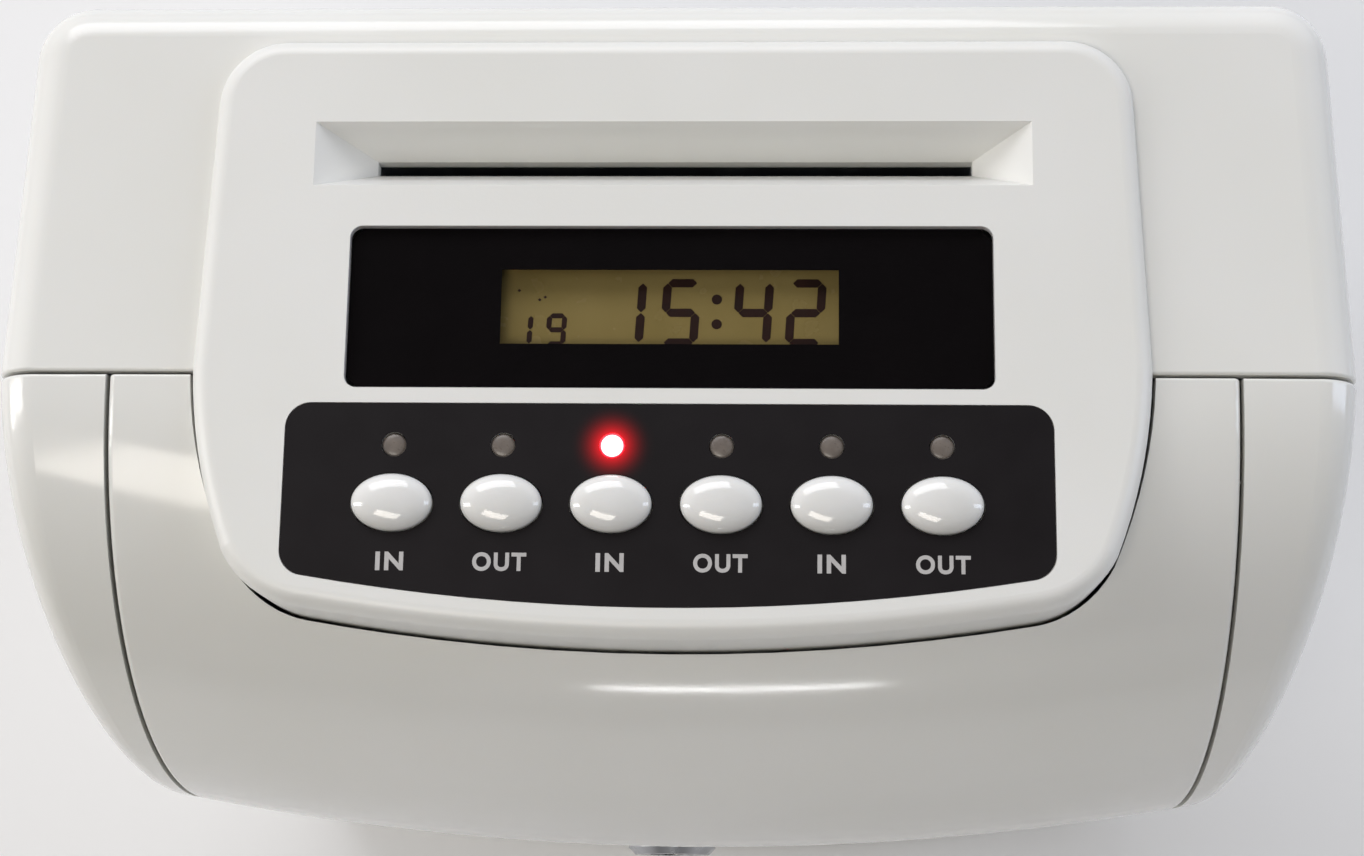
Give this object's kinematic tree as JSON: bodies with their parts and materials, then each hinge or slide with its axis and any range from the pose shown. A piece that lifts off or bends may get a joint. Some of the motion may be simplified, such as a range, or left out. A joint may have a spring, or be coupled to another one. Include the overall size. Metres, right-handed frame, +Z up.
{
  "type": "punch time clock",
  "caption": "White table or wall time clock with a sloped card mouth, dark display window, oval keys with indicator lights, and a lockable front cover over its card feed and printer",
  "frame": {"origin": "on the table, under the centre of the overall box", "axes": "X to the right seen from the front, Y to the back, Z up; the keypad and the front cover face -Y"},
  "size_m": [0.198, 0.1226, 0.2413],
  "materials": {
    "casing": "semi-gloss moulded, white",
    "panel": "fine satin moulded, white",
    "window_acrylic": "polished clear",
    "window_ink": "screen-printed black",
    "overlay_film": "fine textured dark film",
    "button_plastic": "high gloss white",
    "lit_lens": "diffused lens, lit red",
    "dark_lens": "diffused lens, unlit",
    "switch_plastic": "black moulded",
    "circuit_board": "green solder mask",
    "board_parts": "black moulded packages",
    "lcd": "olive reflective display",
    "lock_zinc": "satin plated zinc",
    "lock_steel": "plated steel",
    "sheet_steel": "zinc-plated sheet",
    "screw_steel": "zinc-plated",
    "shaft_steel": "ground bar",
    "brass": "turned",
    "rubber": "matt black",
    "acetal": "natural acetal",
    "motor_black": "satin black",
    "mechanism_plastic": "black moulded",
    "head_alloy": "die-cast",
    "ink_cloth": "inked nylon weave",
    "battery_wrap": "heat-shrink sleeve",
    "cable_film": "flat ribbon cable"
  },
  "bodies": {
    "clock": {"base_tray": "casing", "rear_cover": "casing", "right_side_cover": "casing", "left_side_cover": "casing", "top_panel": "panel", "display_window": "window_acrylic", "window_mask": "window_ink", "keypad_overlay": "overlay_film", "lit_indicator": "lit_lens", "dark_indicators": "dark_lens", "tact_switches": "switch_plastic", "lcd_frame": "switch_plastic", "dc_jack": "switch_plastic", "keypad_board": "circuit_board", "main_board": "circuit_board", "board_components": "board_parts", "lcd_glass": "lcd", "chassis_deck": "sheet_steel", "right_chassis_plate": "sheet_steel", "left_chassis_plate": "sheet_steel", "chassis_cross_members": "sheet_steel", "card_guide_front": "sheet_steel", "card_guide_rear": "sheet_steel", "casing_screws": "screw_steel", "board_screws": "screw_steel", "guide_rod": "shaft_steel", "hinge_pins": "shaft_steel", "shaft_bushes": "brass", "rubber_feet": "rubber", "platen": "rubber", "feed_motor": "motor_black", "carriage_motor": "motor_black", "ribbon_cassette": "mechanism_plastic", "ink_ribbon": "ink_cloth", "backup_battery": "battery_wrap", "display_cable": "cable_film"},
    "front_cover_body": {"front_cover": "casing", "lock_body": "lock_zinc", "lock_nut": "lock_zinc"},
    "lock_plug_body": {"lock_plug": "lock_steel", "lock_cam": "lock_steel"},
    "feed_shaft_body": {"feed_shaft": "shaft_steel", "feed_rollers": "rubber", "feed_gear": "acetal"},
    "feed_pinion_body": {"feed_pinion": "acetal"},
    "pinch_shaft_body": {"pinch_shaft": "shaft_steel", "pinch_rollers": "rubber"},
    "carriage_body": {"print_carriage": "mechanism_plastic", "carriage_nut": "brass", "print_head": "head_alloy"},
    "lead_screw_body": {"lead_screw": "shaft_steel", "screw_gear": "acetal"},
    "carriage_pinion_body": {"carriage_pinion": "acetal"},
    "ribbon_knob_body": {"ribbon_knob": "mechanism_plastic"},
    "in_button_1_body": {"in_button_1": "button_plastic"},
    "out_button_1_body": {"out_button_1": "button_plastic"},
    "in_button_2_body": {"in_button_2": "button_plastic"},
    "out_button_2_body": {"out_button_2": "button_plastic"},
    "in_button_3_body": {"in_button_3": "button_plastic"},
    "out_button_3_body": {"out_button_3": "button_plastic"}
  },
  "joints": [
    {"name": "front_cover_hinge", "type": "hinge", "parent": "clock", "child": "front_cover_body", "pos_m": [0, -0.04734, 0.019], "axis": [1, 0, 0], "range_deg": [0, 70]},
    {"name": "lock_turn", "type": "hinge", "parent": "front_cover_body", "child": "lock_plug_body", "pos_m": [-0.0035, -0.03945, 0.126], "axis": [0, 1, 0], "range_deg": [0, 90]},
    {"name": "in_button_1_press", "type": "slide", "parent": "clock", "child": "in_button_1_body", "axis": [0, 0, 1], "range_m": [-0.0008, 0], "stiffness_N_per_m": 300},
    {"name": "out_button_1_press", "type": "slide", "parent": "clock", "child": "out_button_1_body", "axis": [0, 0, 1], "range_m": [-0.0008, 0], "stiffness_N_per_m": 300},
    {"name": "in_button_2_press", "type": "slide", "parent": "clock", "child": "in_button_2_body", "axis": [0, 0, 1], "range_m": [-0.0008, 0], "stiffness_N_per_m": 300},
    {"name": "out_button_2_press", "type": "slide", "parent": "clock", "child": "out_button_2_body", "axis": [0, 0, 1], "range_m": [-0.0008, 0], "stiffness_N_per_m": 300},
    {"name": "in_button_3_press", "type": "slide", "parent": "clock", "child": "in_button_3_body", "axis": [0, 0, 1], "range_m": [-0.0008, 0], "stiffness_N_per_m": 300},
    {"name": "out_button_3_press", "type": "slide", "parent": "clock", "child": "out_button_3_body", "axis": [0, 0, 1], "range_m": [-0.0008, 0], "stiffness_N_per_m": 300},
    {"name": "feed_shaft_turn", "type": "hinge", "parent": "clock", "child": "feed_shaft_body", "pos_m": [0, 0.0284, 0.19], "axis": [1, 0, 0], "continuous": true},
    {"name": "feed_pinion_turn", "type": "hinge", "parent": "clock", "child": "feed_pinion_body", "pos_m": [0.077, 0.0042, 0.19], "axis": [1, 0, 0], "continuous": true},
    {"name": "pinch_shaft_turn", "type": "hinge", "parent": "clock", "child": "pinch_shaft_body", "pos_m": [0, 0.0407, 0.19], "axis": [1, 0, 0], "continuous": true},
    {"name": "carriage_slide", "type": "slide", "parent": "clock", "child": "carriage_body", "axis": [1, 0, 0], "range_m": [-0.024, 0.024]},
    {"name": "lead_screw_turn", "type": "hinge", "parent": "clock", "child": "lead_screw_body", "pos_m": [0, 0.00325, 0.138], "axis": [1, 0, 0], "range_deg": [-725, 725]},
    {"name": "carriage_pinion_turn", "type": "hinge", "parent": "clock", "child": "carriage_pinion_body", "pos_m": [-0.077, -0.02095, 0.138], "axis": [1, 0, 0], "range_deg": [-2170, 2170]},
    {"name": "ribbon_knob_turn", "type": "hinge", "parent": "clock", "child": "ribbon_knob_body", "pos_m": [-0.021, -0.01175, 0.1823], "axis": [0, 0, 1], "continuous": true}
  ],
  "couplings": [
    {"joint": "feed_pinion_turn", "follows": "feed_shaft_turn", "ratio": -3},
    {"joint": "pinch_shaft_turn", "follows": "feed_shaft_turn", "ratio": -1.4},
    {"joint": "lead_screw_turn", "follows": "carriage_slide", "rad_per_m": 523.6},
    {"joint": "carriage_pinion_turn", "follows": "carriage_slide", "rad_per_m": -1570.8}
  ]
}
